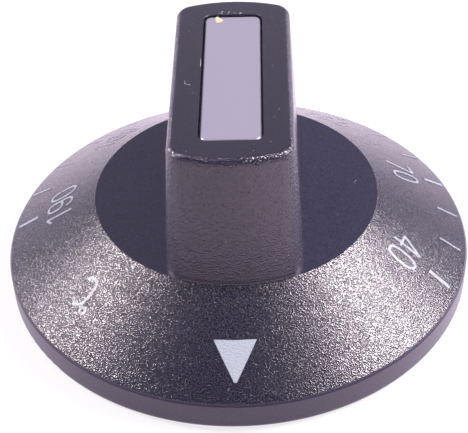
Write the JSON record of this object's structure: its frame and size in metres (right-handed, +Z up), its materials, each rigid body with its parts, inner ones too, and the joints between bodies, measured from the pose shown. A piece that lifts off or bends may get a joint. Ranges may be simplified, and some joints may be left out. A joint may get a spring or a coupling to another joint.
{
  "type": "thermostat knob",
  "caption": "Round skirted control knob with a tall drafted grip bar, an inlay plate in its top and a D-shaped shaft socket; it turns the spindle of a kitchen appliance's thermostat.",
  "frame": {"origin": "centre of the plane that the rim stands on", "axes": "+Z up along the shaft axis, +Y along the grip bar to the rear, the printed pointer on the -Y side"},
  "size_m": [0.07, 0.07, 0.0344],
  "materials": {
    "body_plastic": "charcoal, coarse spark-eroded grain on the cone and a fine one on grip and dial",
    "inlay_metal": "satin silver grey",
    "spring_steel": "bright rolled strip"
  },
  "bodies": {
    "root": {"knob_body": "body_plastic", "grip_inlay": "inlay_metal", "shaft_spring": "spring_steel"}
  },
  "joints": []
}
